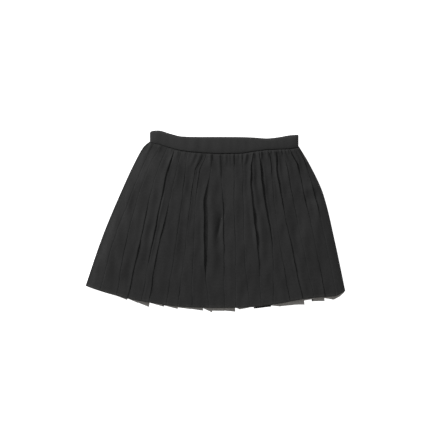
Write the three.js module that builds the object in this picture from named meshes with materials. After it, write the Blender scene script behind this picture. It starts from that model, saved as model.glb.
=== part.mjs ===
// A pleated mini skirt laid flat: a waistband over two knife-pleated panels that lie on each other.
// Millimetres, +Z up. +Y runs up to the waist, and +X to the right as the front is looked at from above.
// The origin is at the bottom centre of the skirt's box. Each pleat is a real fold: the cloth runs out to a
// folded edge, back under itself, and out again as the next face, in one wall.

import * as THREE from "three";

// Cloth, and how its layers lie
const wall = 1.0;                     // thickness of the pleated cloth
const seamGap = 0.3;                  // between pieces, and between the layers of a fold
const layerStep = wall + seamGap;     // from the middle of one layer to the middle of the next
const stackHeight = 2 * layerStep;    // from the lowest layer of a fold to the face on top of it
const backLevel = wall / 2;           // height of the back panel's lowest layer
const frontLevel = backLevel + 3 * layerStep;   // the front lies on the folds of the back
const sideSeamHeight = frontLevel - layerStep / 2;

// Pleats
const underlayAtWaist = 10.5;         // how far a fold runs back under its face
const underlayAtHem = 4.0;
const underlayShare = 0.42;           // the most of a face that its underlay may take
const foldClearance = 2.0;            // from the inner fold to where its face has climbed on top of it
const foldClearanceShare = 0.25;      // the most of a face's free width that this takes
const closedGape = 2.0;               // how far beyond a closed fold the next face begins to rise
const riseShare = 0.62;               // the share of a face's free width over which it climbs to the fold
const frontFaceLift = 2.5;            // how far a front face has risen where that climb begins
const bankShare = 0.3;                // how far the far side of an open fold stands up, as a share of its width
const sideRoundness = 3.0;            // how far in from the side edge the cloth turns over
const sideTurn = 0.9;                 // how far up from its level the back has turned at the side edge
const lastFaceShare = 0.4;            // where the last front face has risen, from its fold to the side edge
const sharpestMitre = 0.5;            // keeps the wall's corners short where the cloth turns back sharply

// Waistband
const bandWall = 2.8;                 // a doubled strip with its stiffening
const bandHeight = 7.6;               // of the two walls together
const bandCrown = 0.8;                // how far its front stands up in the middle
const bandStep = 10;                  // spacing of its sections
const bandEndAngles = [60, 30, 0, -30, -60];   // sections round each folded end, in degrees

// Colours
const clothColour = "#2e2e2e";
const bandColour = "#343434";

// Turns rows of numbers under named columns into a list of records.
function table(columns, rows) {
  return rows.map((row) => Object.fromEntries(columns.map((name, index) => [name, row[index]])));
}

// The waistband's top edge and the seam under it, from the left side to the right.
const waistLine = table(["x", "top", "seam"], [
  [-150.7, 201.5, 178.5],
  [-145, 205.8, 177.5],
  [-131, 206.5, 175],
  [-104, 199.2, 167.4],
  [-76, 192.9, 160.6],
  [-33, 191.8, 156.2],
  [11, 191.9, 154.2],
  [57, 191.6, 155],
  [85, 190.7, 158.8],
  [117, 188.5, 162.6],
  [145, 191.3, 163.8],
  [172, 195.9, 165],
  [189.8, 196.9, 168.3],
]);

// The hem of the front panel.
const hemLine = table(["x", "y"], [
  [-297.4, -147.5],
  [-242, -166],
  [-186.5, -180],
  [-131, -189.3],
  [-76, -196.2],
  [0, -198.5],
  [57, -198],
  [90, -196],
  [117, -192.5],
  [145, -189],
  [172, -183.5],
  [199, -178.7],
  [226, -175.5],
  [254, -173.2],
  [276, -171],
  [285, -167],
  [297.2, -160.5],
]);

// Where along the skirt's length the fold tables are read, from 0 at the waist seam to 1 at the hem.
const lengthPlaces = { waist: 0, tuck: 0.04, hip: 0.12, upper: 1 / 3, lower: 2 / 3, hem: 1 };
const openPlaces = { Waist: 0, Hip: 0.1, High: 0.2, Upper: 1 / 3, Middle: 1 / 2, Lower: 2 / 3, Hem: 1 };

// The two side edges, and the folded edges of the front: x at each place, then how far the edge is lifted, and
// how wide the fold gapes before the next face rises.
const sideLines = table(["waist", "tuck", "hip", "upper", "lower", "hem"], [
  [-151.3, -166.8, -181.7, -213.6, -259.2, -297.4],
  [189.8, 199.2, 215.3, 247.3, 273.9, 297.2],
]);
const foldColumns = ["waist", "tuck", "hip", "upper", "lower", "hem",
  "liftHip", "liftHigh", "liftUpper", "liftMiddle", "liftLower", "liftHem",
  "gapeHip", "gapeHigh", "gapeUpper", "gapeMiddle", "gapeLower", "gapeHem"];
const frontFolds = table(foldColumns, [
  [-138, -147, -161, -191, -234, -264, 0.5, 0.5, 0.5, 0.5, 0.5, 0.5, 2, 2, 2, 2, 2, 2],
  [-124, -132, -147, -176, -206, -227, 0.5, 0.5, 0.5, 0.6, 0.8, 0.6, 2, 2, 2, 2, 2, 2],
  [-110, -116, -128, -152, -177, -198, 0.5, 0.5, 0.6, 2.0, 2.0, 1.2, 2, 2, 2, 2.4, 2.4, 2],
  [-93, -98, -109, -125, -148, -170, 2.6, 2.0, 1.8, 2.2, 1.8, 0.5, 2.6, 2.4, 2.4, 2.6, 2.4, 2],
  [-78, -81, -88, -105, -132, -150, 0.5, 0.5, 0.6, 2.0, 1.2, 1.0, 2, 2, 2, 2.4, 2, 2],
  [-62, -65, -69, -78, -95, -113, 0.6, 0.8, 0.8, 0.6, 0.6, 0.5, 2, 2, 2, 2, 2, 2],
  [-27, -31, -47, -58, -72, -87, 1.2, 0.9, 0.6, 0.5, 0.5, 0.5, 2, 2, 2, 2, 2, 2],
  [-20, -24, -37, -46, -52, -55, 0.6, 0.6, 0.5, 0.5, 0.5, 0.5, 2, 2, 2, 2, 2, 2],
  [-7, -8, -12, -28, -26.5, -16, 0.5, 1.4, 3.2, 3.6, 2.8, 0.5, 2, 2, 7, 9, 6, 2],
  [14, 13, 12, 16, 18, 22, 0.8, 0.9, 1.2, 1.0, 0.8, 0.5, 2, 2, 2, 2, 2, 2],
  [43, 43, 42, 42, 43.5, 45.5, 0.6, 0.6, 0.6, 0.5, 0.5, 0.5, 2, 2, 2, 2, 2, 2],
  [62, 62, 62, 63, 66, 79, 0.5, 0.5, 0.5, 0.5, 0.5, 0.5, 2, 2, 2, 2, 2, 2],
  [88, 86, 81, 85, 99, 105, 2.1, 3.1, 3.3, 4.0, 2.2, 0.5, 2.5, 3.4, 4, 5, 3.2, 2],
  [106, 106, 109, 118, 131, 133, 3.0, 4.0, 2.6, 2.6, 0.6, 0.5, 3, 4, 3, 3, 2, 2],
  [124, 126, 129, 132, 150, 171, 1.4, 0.8, 0.5, 0.5, 0.5, 1.2, 2, 2, 2, 2, 2, 2],
  [141, 141.5, 142.5, 155, 178, 201, 3.2, 3.0, 1.6, 0.8, 1.5, 2.4, 3.2, 3.2, 2.2, 2, 2, 2.6],
  [154, 158, 165, 180, 202, 226, 1.0, 0.9, 0.9, 0.8, 0.5, 0.5, 2, 2, 2, 2, 2, 2],
  [166, 172, 184, 206, 230, 251, 2.6, 1.0, 1.6, 0.5, 0.5, 3.0, 2.6, 2, 2, 2, 2, 2.6],
  [178, 186, 201, 231, 255, 276, 1.8, 0.8, 1.8, 0.5, 0.5, 0.5, 2, 2, 2, 2, 2, 2],
]);

// The folds of the back, from left to right: x of the inner fold at the hem, how far its corner hangs below the
// front's hem, and how far above that the next face begins. At the waist they are evenly spaced.
const backFolds = table(["hem", "drop", "step"], [
  [-268, 0.5, 0.5],
  [-238, 0.5, 0.5],
  [-203, 4.2, 3.4],
  [-178, 5.8, 0.5],
  [-153, 11, 10.2],
  [-119, 5, 3],
  [-87, 5.8, 3.2],
  [-57, 4.6, 0.4],
  [-29, 7.2, 5.4],
  [-8, 11, 3.8],
  [20, 7.4, 0.4],
  [45, 9.4, 8.8],
  [57, 4.4, 0.4],
  [77, 1.2, 0.4],
  [92, 1, -3.4],
  [127, 4.8, 2.4],
  [150, 7.4, 0.4],
  [177, 9.2, 0.4],
  [204, 12.5, 9.4],
  [225, 3.2, -5],
  [250, 9.6, 6.2],
  [272, 8.4, 0.4],
]);
const backFaceRise = 5.0;             // how far a back face climbs over before its fold
const cornerDrop = 4.0;               // how far the back still hangs below the front near the right side

// The left side of the front stands up off the back: steep beside its edge, and sinking slowly away from it.
const puffHeight = 3.6;
const puffAtHem = 0.6;                // its height at the hem, as a share of its height at the waist
const puffRise = 44;                  // how far from the side edge it has risen in full
const puffFall = 130;                 // and over how much farther it sinks away

// Rows of the two walls, as shares of the length from the waist seam to the hem
const frontRows = [0, 0.04, 0.12, 0.25, 0.4, 0.56, 0.72, 0.88, 1];
const backRows = [0, 0.04, 0.12, 0.36, 0.68, 1];
const bandRows = [0, 0.2, 0.5, 0.8, 1];   // of the waistband, from its top edge to the seam

// Reads a smooth curve through given values at one place along it, with no overshoot between them.
function smoothRead(places, values, at) {
  const last = places.length - 1;
  if (at <= places[0]) return values[0];
  if (at >= places[last]) return values[last];
  const slope = (j) => (values[j + 1] - values[j]) / (places[j + 1] - places[j]);
  const tangent = (j) => {
    if (j === 0) return slope(0);
    if (j === last) return slope(last - 1);
    const product = slope(j - 1) * slope(j);
    return product <= 0 ? 0 : (2 * product) / (slope(j - 1) + slope(j));
  };
  let i = 0;
  while (at > places[i + 1]) i += 1;
  const width = places[i + 1] - places[i];
  const t = (at - places[i]) / width;
  const rise = t * t * (3 - 2 * t);
  const leave = t * (1 - t) * (1 - t) * width * tangent(i);
  const arrive = t * t * (1 - t) * width * tangent(i + 1);
  return values[i] + (values[i + 1] - values[i]) * rise + leave - arrive;
}

const readTable = (rows, column, x) => smoothRead(rows.map((row) => row.x), rows.map((row) => row[column]), x);
const bandTop = (x) => readTable(waistLine, "top", x);
const waistSeam = (x) => readTable(waistLine, "seam", x);
const hem = (x) => readTable(hemLine, "y", x);
const mix = THREE.MathUtils.lerp;

// x of a fold or side at a share of the length.
function foldX(fold, share) {
  const names = Object.keys(lengthPlaces);
  return smoothRead(names.map((name) => lengthPlaces[name]), names.map((name) => fold[name]), share);
}

// A fold's lift or gape at a share of the length; it is closed and pressed flat at the waist.
function foldOpening(fold, kind, closed, share) {
  const names = Object.keys(openPlaces);
  const values = names.map((name) => fold[kind + name] ?? closed);
  return smoothRead(names.map((name) => openPlaces[name]), values, share);
}

// How far the left side of the front stands up at a place across, x, when the side edge is at left.
function leftPuff(x, left, share) {
  const rise = Math.sin((Math.PI / 2) * THREE.MathUtils.clamp((x - left) / puffRise, 0, 1));
  const fall = 1 - THREE.MathUtils.smoothstep(x, left + puffRise, left + puffRise + puffFall);
  return puffHeight * mix(1, puffAtHem, share) * rise * fall;
}

// The front's folds at a share of the length, from the side edge at the left to the one at the right.
function frontFoldsAt(share) {
  return frontFolds.map((fold) => ({
    x: foldX(fold, share),
    lift: foldOpening(fold, "lift", 0, share),
    gape: foldOpening(fold, "gape", closedGape, share),
    bank: bankShare * foldOpening(fold, "gape", closedGape, share),
    drop: 0,
    step: 0,
  }));
}

// The back's folds: their places at the waist and at the hem are shares of the width between the side edges.
function backFoldsAt(share) {
  const [left, right] = sideLines.map((side) => foldX(side, share));
  const [hemLeft, hemRight] = sideLines.map((side) => side.hem);
  return backFolds.map((fold, index) => {
    const shareAtWaist = (index + 1) / (backFolds.length + 1);
    const shareAtHem = (fold.hem - hemLeft) / (hemRight - hemLeft);
    const across = mix(shareAtWaist, shareAtHem, share);
    return { x: mix(left, right, across), lift: 0, gape: closedGape, bank: 0, drop: fold.drop, step: fold.step };
  });
}

// The middle line of a panel's cloth at one share of its length, from the left side to the right. Each point has
// its place across, its height, and how far it hangs below the hem line.
function pleatedLine(panel, share) {
  const folds = panel.foldsAt(share);
  const [left, right] = sideLines.map((side) => foldX(side, share));
  const underlayHere = mix(underlayAtWaist, underlayAtHem, share);
  const low = panel.level;
  const points = [...panel.leftSide(left)];
  let face = { x: left + sideRoundness, z: low + panel.sideLift, drop: 0, bank: 0 };
  for (const fold of folds) {
    const underlay = Math.min(underlayHere, underlayShare * (fold.x - face.x));
    const foldStart = fold.x - underlay;
    const topStart = foldStart - Math.min(foldClearance, foldClearanceShare * (foldStart - face.x));
    const rise = Math.min(panel.longestRise, riseShare * (topStart - face.x));
    const top = low + stackHeight + fold.lift;
    const dropAt = (x) => mix(face.drop, fold.drop, (x - face.x) / (fold.x - face.x));
    const nextDrop = fold.drop - fold.step;
    points.push(
      { x: face.x, z: face.z, drop: face.drop },
      { x: topStart - rise, z: low + panel.faceLift + face.bank, drop: dropAt(topStart - rise) },
      { x: topStart, z: low + stackHeight, drop: dropAt(topStart) },
      { x: fold.x, z: top, drop: fold.drop },
      { x: fold.x + layerStep / 2, z: top - layerStep / 2, drop: fold.drop },
      { x: fold.x, z: top - layerStep, drop: fold.drop },
      { x: foldStart, z: low + layerStep, drop: nextDrop },
      { x: foldStart - layerStep / 2, z: low + layerStep / 2, drop: nextDrop },
      { x: foldStart, z: low, drop: nextDrop },
    );
    face = { x: fold.x + fold.gape, z: low, drop: nextDrop, bank: fold.bank };
  }
  points.push({ x: face.x, z: low, drop: face.drop });
  points.push(...panel.rightSide(right, face.x));
  return points.map((point) => ({ ...point, z: point.z + panel.stand(point.x, left, share) }));
}

// Both faces of a wall whose middle line is given in x and z: each point is moved out along the mitre.
function wallSides(line, thickness) {
  const directions = line.slice(1).map((point, i) => {
    return new THREE.Vector2(point.x - line[i].x, point.z - line[i].z).normalize();
  });
  return line.map((point, i) => {
    const before = directions[Math.max(i - 1, 0)];
    const after = directions[Math.min(i, directions.length - 1)];
    const normal = new THREE.Vector2(-before.y - after.y, before.x + after.x).normalize();
    const lean = Math.max(normal.dot(new THREE.Vector2(-after.y, after.x)), sharpestMitre);
    const reach = thickness / 2 / lean;
    return [1, -1].map((side) => ({ x: point.x + side * reach * normal.x, z: point.z + side * reach * normal.y }));
  });
}

// Closes a wall from its two faces, given as grids of points, row by row. A ring has no side edges.
function wallGeometry(upper, lower, isRing) {
  const rows = upper.length;
  const count = upper[0].length;
  const positions = [...upper.flat(), ...lower.flat()].flatMap((point) => [point.x, point.y, point.z]);
  const index = [];
  const at = (side, row, i) => side * rows * count + row * count + (i % count);
  const quad = (a, b, c, d) => index.push(a, b, c, a, c, d);
  const spans = isRing ? count : count - 1;
  for (let i = 0; i < spans; i += 1) {
    for (let row = 0; row < rows - 1; row += 1) {
      const forward = upper[row][(i + 1) % count].x >= upper[row][i].x;
      for (const side of [0, 1]) {
        const corners = [at(side, row, i), at(side, row + 1, i), at(side, row + 1, i + 1), at(side, row, i + 1)];
        if (side === 1) corners.reverse();
        if (forward === (side === 0)) corners.push(corners.shift());
        quad(...corners);
      }
    }
    quad(at(0, 0, i), at(0, 0, i + 1), at(1, 0, i + 1), at(1, 0, i));
    quad(at(0, rows - 1, i + 1), at(0, rows - 1, i), at(1, rows - 1, i), at(1, rows - 1, i + 1));
  }
  if (!isRing) {
    for (let row = 0; row < rows - 1; row += 1) {
      quad(at(0, row, 0), at(1, row, 0), at(1, row + 1, 0), at(0, row + 1, 0));
      quad(at(0, row, count - 1), at(0, row + 1, count - 1), at(1, row + 1, count - 1), at(1, row, count - 1));
    }
  }
  const geometry = new THREE.BufferGeometry();
  geometry.setAttribute("position", new THREE.Float32BufferAttribute(positions, 3));
  geometry.setIndex(index);
  geometry.computeVertexNormals();
  return geometry;
}

function clothMesh(name, geometry, colour) {
  const material = new THREE.MeshStandardMaterial({ color: colour, roughness: 0.9, metalness: 0 });
  const mesh = new THREE.Mesh(geometry, material);
  mesh.name = name;
  return mesh;
}

// A panel of the skirt: its pleated line at each row, thickened, from the waist seam down to the hem.
function makePanel(panel) {
  const waistEnd = pleatedLine(panel, 0);
  const hemEnd = pleatedLine(panel, 1);
  const faces = panel.rows.map((share) => {
    const line = pleatedLine(panel, share);
    const heights = line.map((point, i) => {
      const top = waistSeam(waistEnd[i].x) - seamGap;
      const bottom = hem(hemEnd[i].x) - hemEnd[i].drop;
      return mix(top, bottom, share);
    });
    return wallSides(line, wall).map((sides, i) => sides.map((point) => ({ ...point, y: heights[i] })));
  });
  const upper = faces.map((row) => row.map((sides) => sides[0]));
  const lower = faces.map((row) => row.map((sides) => sides[1]));
  return clothMesh(panel.name, wallGeometry(upper, lower, false), clothColour);
}

const frontPanel = {
  name: "skirt_front",
  level: frontLevel,
  rows: frontRows,
  foldsAt: frontFoldsAt,
  longestRise: Infinity,
  faceLift: frontFaceLift,
  sideLift: layerStep,
  stand: leftPuff,
  leftSide: (x) => [
    { x: x + wall / 2, z: sideSeamHeight + seamGap / 2, drop: 0 },
    { x: x + wall / 2, z: frontLevel, drop: 0 },
  ],
  rightSide: (x, start) => [
    { x: mix(start, x, lastFaceShare), z: frontLevel + frontFaceLift, drop: 0 },
    { x: x - sideRoundness, z: frontLevel + layerStep, drop: 0 },
    { x: x - wall / 2, z: frontLevel, drop: 0 },
    { x: x - wall / 2, z: sideSeamHeight + seamGap / 2, drop: 0 },
  ],
};

const backPanel = {
  name: "skirt_back",
  level: backLevel,
  rows: backRows,
  foldsAt: backFoldsAt,
  longestRise: backFaceRise,
  faceLift: 0,
  sideLift: 0,
  stand: () => 0,
  leftSide: (x) => [
    { x: x + wall / 2, z: sideSeamHeight - seamGap / 2, drop: 0 },
    { x: x + wall / 2, z: backLevel + sideTurn, drop: 0 },
  ],
  rightSide: (x) => [
    { x: x - sideRoundness, z: backLevel, drop: cornerDrop },
    { x: x - wall / 2, z: backLevel + sideTurn, drop: 0 },
    { x: x - wall / 2, z: sideSeamHeight - seamGap / 2, drop: 0 },
  ],
};

// The waistband: one flattened ring. Its section runs along the front, round the right end, back along the
// back, and round the left end.
function bandLoop() {
  const radius = (bandHeight - bandWall) / 2;
  const middle = bandHeight / 2;
  const endReach = radius + bandWall / 2;
  const left = waistLine[0].x + endReach;
  const right = waistLine[waistLine.length - 1].x - endReach;
  const steps = Math.round((right - left) / bandStep);
  const run = Array.from({ length: steps + 1 }, (_, i) => mix(left, right, i / steps));
  const end = (centre, turn) => bandEndAngles.map((degrees) => {
    const angle = THREE.MathUtils.degToRad(degrees);
    return { x: centre + turn * radius * Math.cos(angle), z: middle + turn * radius * Math.sin(angle), front: 0 };
  });
  return [
    ...run.map((x) => ({ x, z: middle + radius, front: 1 })),
    ...end(right, 1),
    ...run.toReversed().map((x) => ({ x, z: middle - radius, front: 0 })),
    ...end(left, -1),
  ];
}

function makeWaistband() {
  const loop = bandLoop();
  const count = loop.length;
  const around = [loop[count - 1], ...loop, loop[0]];
  const sides = wallSides(around, bandWall).slice(1, -1);
  const face = (side) => bandRows.map((down) => sides.map((pair, i) => {
    const x = pair[side].x;
    const crown = loop[i].front * bandCrown * Math.sin(Math.PI * down);
    return { x, y: mix(bandTop(x), waistSeam(x), down), z: pair[side].z + crown };
  }));
  return clothMesh("waistband", wallGeometry(face(0), face(1), true), bandColour);
}

const skirt = new THREE.Group();
skirt.add(makePanel(backPanel), makePanel(frontPanel), makeWaistband());

export default skirt;
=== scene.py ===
# %% [markdown]
# This lesson finishes a pleated mini skirt that lies flat on a pale surface and is seen from straight
# above. The frame holds three plain solids at their real size: the waistband, the front panel and the back
# panel. Each is replaced here by a finer piece on the same form: thin cloth, real folds, soft creases and
# stitches.

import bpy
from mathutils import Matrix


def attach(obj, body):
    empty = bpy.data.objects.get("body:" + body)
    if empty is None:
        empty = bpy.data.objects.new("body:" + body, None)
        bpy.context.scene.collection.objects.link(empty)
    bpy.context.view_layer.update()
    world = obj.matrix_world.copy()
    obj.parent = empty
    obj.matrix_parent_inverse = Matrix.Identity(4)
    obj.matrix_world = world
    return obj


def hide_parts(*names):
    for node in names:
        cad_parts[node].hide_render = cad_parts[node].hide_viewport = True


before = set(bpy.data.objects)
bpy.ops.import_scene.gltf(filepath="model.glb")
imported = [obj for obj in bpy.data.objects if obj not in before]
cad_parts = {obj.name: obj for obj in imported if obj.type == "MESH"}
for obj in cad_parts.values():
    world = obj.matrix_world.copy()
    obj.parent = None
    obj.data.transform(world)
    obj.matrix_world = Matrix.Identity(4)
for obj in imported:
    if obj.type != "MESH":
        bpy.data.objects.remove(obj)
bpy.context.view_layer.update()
print("solids in the frame:", ", ".join(sorted(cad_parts)))

# %% [markdown]
# The camera comes first, so that every later choice can be looked at from it. The skirt was photographed
# from straight above, so the camera looks down the Z axis, which is what an unturned Blender camera does.
# Its height follows from the lens and from how much cloth one pixel of the photograph shows.

# %% Camera
import math

import bmesh
import bpy
import numpy as np
from mathutils import Matrix, Vector, noise

MM = 0.001
PICTURE_PIXELS = 430
PIXEL_SIZE = 2.286 * MM
PICTURE_CENTRE = (-1.4 * MM, 13.1 * MM)
CLOTH_TOP = 8 * MM
LENS = 85
SENSOR = 36

scene = bpy.context.scene
camera_data = bpy.data.cameras.new("camera")
camera_data.lens = LENS
camera_data.sensor_width = SENSOR
camera = bpy.data.objects.new("camera", camera_data)
camera.location = (*PICTURE_CENTRE, PICTURE_PIXELS * PIXEL_SIZE * LENS / SENSOR + CLOTH_TOP)
scene.collection.objects.link(camera)
scene.camera = camera
print("camera height in metres:", round(camera.location.z, 3))

# %% [markdown]
# Colours are picked as sRGB hex values, as a paint program shows them, but Blender's shaders count in
# linear light. One function turns the one into the other. The Standard view keeps those colours as they are
# picked.

# %% Colour
scene.view_settings.view_transform = "Standard"


def linear(hex_colour):
    """Turns an sRGB hex colour into the linear colour and alpha that a shader takes."""
    parts = [int(hex_colour[i:i + 2], 16) / 255 for i in (1, 3, 5)]
    return [p / 12.92 if p <= 0.04045 else ((p + 0.055) / 1.055) ** 2.4 for p in parts] + [1.0]


print("mid grey #808080 in linear light:", round(linear("#808080")[0], 3))

# %% [markdown]
# Every material below is a small graph of nodes. One helper adds a node, sets its values and joins its
# inputs, so that a graph reads as a list of what it is made of.

# %% A helper for materials
def add_node(tree, kind, settings=None, values=None, links=None):
    """Adds a node, sets its own settings and its inputs' values, and links its inputs to other sockets."""
    node = tree.nodes.new(kind)
    for name, value in (settings or {}).items():
        setattr(node, name, value)
    for name, value in (values or {}).items():
        node.inputs[name].default_value = value
    for name, socket in (links or {}).items():
        tree.links.new(socket, node.inputs[name])
    return node


def new_material(name):
    """A material with an empty graph and its output node."""
    material = bpy.data.materials.new(name)
    material.use_nodes = True
    material.node_tree.nodes.clear()
    return material, material.node_tree, add_node(material.node_tree, "ShaderNodeOutputMaterial")


# %% [markdown]
# The light is a plain studio: a white room all round, and one wide soft lamp up at the top left, which
# draws the shadow along the right of each fold. The surface is a matt white sweep. Some glow of its own
# keeps it as even as the paper-white ground of a catalogue picture, where the cloth throws hardly any
# shadow.

# %% Light and floor
ROOM_STRENGTH = 0.32
LAMP_PLACE = (-1.45, 1.2, 1.15)
LAMP_SIZE = 0.9
LAMP_POWER = 37.6
FLOOR_SIZE = 12
FLOOR_GAP = 0.1 * MM
FLOOR_GLOW = 1.0

world = bpy.data.worlds.new("studio")
world.use_nodes = True
world.node_tree.nodes["Background"].inputs["Color"].default_value = (1, 1, 1, 1)
world.node_tree.nodes["Background"].inputs["Strength"].default_value = ROOM_STRENGTH
scene.world = world

lamp_data = bpy.data.lights.new("softbox", "AREA")
lamp_data.size = LAMP_SIZE
lamp_data.energy = LAMP_POWER
lamp = bpy.data.objects.new("softbox", lamp_data)
lamp.location = LAMP_PLACE
lamp.rotation_euler = (-Vector(LAMP_PLACE)).to_track_quat("-Z", "Y").to_euler()
scene.collection.objects.link(lamp)

paper, tree, output = new_material("matt_white_paper")
matt = add_node(tree, "ShaderNodeBsdfPrincipled", None, {
    "Base Color": linear("#f4f4f4"), "Roughness": 0.9,
    "Emission Color": (1, 1, 1, 1), "Emission Strength": FLOOR_GLOW,
})
tree.links.new(matt.outputs["BSDF"], output.inputs["Surface"])

floor_mesh = bmesh.new()
bmesh.ops.create_grid(floor_mesh, x_segments=1, y_segments=1, size=FLOOR_SIZE / 2)
bmesh.ops.translate(floor_mesh, verts=floor_mesh.verts, vec=(0, 0, -FLOOR_GAP))
floor_data = bpy.data.meshes.new("floor")
floor_mesh.to_mesh(floor_data)
floor_mesh.free()
floor_data.materials.append(paper)
floor = bpy.data.objects.new("floor", floor_data)
scene.collection.objects.link(floor)
print("floor and lamp are in place")

# %% [markdown]
# From here on sizes are the maker's: millimetres across, along and up. The cloth is a thin suiting, and its
# pressed layers lie a little more than its thickness apart. The back panel lies on the surface. The front
# panel lies over it, and its lowest layer is still below the top of the waistband.

# %% Sizes of the cloth
CLOTH_WALL = 0.25
LAYER_STEP = 0.35
SEAM_GAP = 0.3
BACK_LEVEL = CLOTH_WALL / 2
FRONT_LEVEL = 5.2
print("the front panel lies above the back one by, mm:", FRONT_LEVEL - BACK_LEVEL)

# %% [markdown]
# The outline could be drawn as one curve, but the band, the hem and the two side edges are used apart, so
# each is a short table of its own. The waist and hem are read from left to right, and the folded side edges
# from the waist down, at six places of the skirt's length.

# %% The outline
def table(columns, rows):
    """Turns rows of numbers under named columns into a list of records."""
    return [dict(zip(columns.split(), row)) for row in rows]


waist_line = table("x top seam", [
    (-150.7, 201.5, 178.5),
    (-145, 205.8, 177.5),
    (-131, 206.5, 175),
    (-104, 199.2, 167.4),
    (-76, 192.9, 160.6),
    (-33, 191.8, 156.2),
    (11, 191.9, 154.2),
    (57, 191.6, 155),
    (85, 190.7, 158.8),
    (117, 188.5, 162.6),
    (145, 191.3, 163.8),
    (172, 195.9, 165),
    (189.8, 196.9, 168.3),
])

hem_line = table("x y", [
    (-298, -149),
    (-242, -167),
    (-186.5, -181),
    (-131, -190.3),
    (-76, -197.2),
    (0, -199.5),
    (57, -199),
    (90, -197),
    (117, -193.5),
    (145, -190),
    (172, -184.5),
    (199, -179.7),
    (226, -176.5),
    (254, -174.2),
    (276, -172),
    (285, -167),
    (297.2, -160.5),
])

LENGTH_PLACES = {"waist": 0, "tuck": 0.04, "hip": 0.12, "upper": 1 / 3, "lower": 2 / 3, "hem": 1}

side_lines = table("waist tuck hip upper lower hem", [
    (-151.3, -165.4, -181, -214.2, -260.2, -298),
    (189.8, 198, 214, 246.8, 273.8, 297),
])
for name in ("waist", "hem"):
    print("width at the", name, "in mm:", round(side_lines[1][name] - side_lines[0][name]))

# %% [markdown]
# A panel is one long strip of cloth, folded into knife pleats that all lie the same way. Worn pleats are
# never alike, so each front fold has a row of its own. Its first six numbers say where the folded edge
# runs. Then come six lifts of the edge and six gapes, which are the widths of the gap beside it, each from
# the hip to the hem. A row may go on with how far down the fold has closed again and how deep a slot opens
# in its gap.

# %% The front folds
OPEN_PLACES = {"Waist": 0, "Hip": 0.1, "High": 0.2, "Upper": 1 / 3, "Middle": 1 / 2, "Lower": 2 / 3, "Hem": 1}

fold_columns = ("waist tuck hip upper lower hem "
                "liftHip liftHigh liftUpper liftMiddle liftLower liftHem "
                "gapeHip gapeHigh gapeUpper gapeMiddle gapeLower gapeHem "
                "closedBy slotUpper slotMiddle slotLower")
front_folds = table(fold_columns, [
    (-138, -147, -161, -191, -234, -264, 0.3, 0, 0, 0, 0, 0, 1, 0.8, 0.8, 0.8, 0.8, 0.8),
    (-124, -132, -147, -176, -206, -227, 0.2, 0.1, 0.1, 0.2, 0.5, 0.4, 1, 1, 1, 1, 1.2, 1),
    (-110, -116, -127, -150, -175.5, -202.5, 0.2, 0.1, 0.1, 1.5, 1.7, 0.8, 1, 1, 1, 1.8, 2.2, 1.4),
    (-93, -98, -108, -125, -148.5, -170, 3.4, 1.8, 1.5, 2.8, 1.2, 0.1, 2.8, 2, 2.2, 2.6, 1.6, 1),
    (-78, -81, -88, -105, -134, -153, 0, 0, 0, 1.9, 1.5, 0.6, 1, 1, 1, 2.2, 1.6, 1.1),
    (-62, -65, -69, -78, -95, -113, 0.5, 0.7, 0.8, 0.2, 0.3, 0.4, 1, 1, 1, 1, 1, 1),
    (-27, -31, -47, -58, -72, -87, 0.8, 0.9, 0.5, 0.3, 0.3, 0.4, 1.2, 1, 1, 1, 1, 1),
    (-20, -24, -37, -46, -52, -55, 0.7, 0.7, 0.2, 0, 0, 0.2, 1, 1, 1, 1, 1, 1),
    (-6, -6.5, -11, -27, -26.5, -15, 0, 0.8, 2.4, 3.0, 3.2, 0.1, 1, 2, 9, 11, 7.5, 1, 0.8,
     0.2, 3.0, 2.4),
    (14, 13, 12, 16, 18, 22, 0.4, 0.4, 2.0, 1.2, 1.0, 0.1, 1, 1, 2, 1.4, 1.3, 1, 0.85),
    (43, 43, 42, 42, 45.5, 46, 0.6, 0.6, 0.6, 0.5, 0.2, 0.3, 1, 1, 1, 1, 1, 1),
    (62, 62, 62, 63, 66, 79, 0.4, 0.2, 0, 0, 0.1, 0.3, 1, 1, 1, 1, 1, 1),
    (86.5, 84, 79, 83, 97, 104.5, 2.1, 3.1, 3.3, 5.0, 2.2, 0.1, 2.5, 3.4, 4, 6, 3.2, 1, 0.77),
    (101, 99.5, 101.5, 111, 130.5, 132.5, 3.2, 4.4, 2.6, 2.8, 0.2, 0.1, 3.2, 4.5, 3, 3, 1, 1),
    (122, 123.5, 126.5, 133, 149, 170.5, 1.6, 0.8, 0, 0, 0.2, 1.2, 1.2, 1, 1, 1, 1, 1.5),
    (139, 138.5, 138.5, 150.2, 174, 198, 3.4, 3.0, 1.4, 0.7, 1.4, 1.9, 3.5, 3.2, 1.8, 1.2, 1.7, 2.2),
    (154, 157, 162, 176, 199.5, 224.5, 1.0, 0.8, 0.8, 0.5, 0, 0.2, 1, 1, 1, 1, 1, 1),
    (168, 172.5, 186, 203, 229, 250.5, 4.6, 1.6, 1.6, 0, 0, 1.8, 3.2, 1.4, 1.6, 1, 1, 2),
    (183.5, 191.5, 205, 226.5, 253.5, 275.5, 1.8, 0.4, 2.6, 0.8, 0.2, 0.2, 1.5, 1, 2, 1.1, 1, 1),
])
print("folds on the front:", len(front_folds))

# %% [markdown]
# The back panel shows only as slivers below the front hem, so a back fold needs less. It has its place at
# the hem, how far its folded edge drops below the front hem, and the step up to the next face, which is a
# step down where it is negative.

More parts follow.
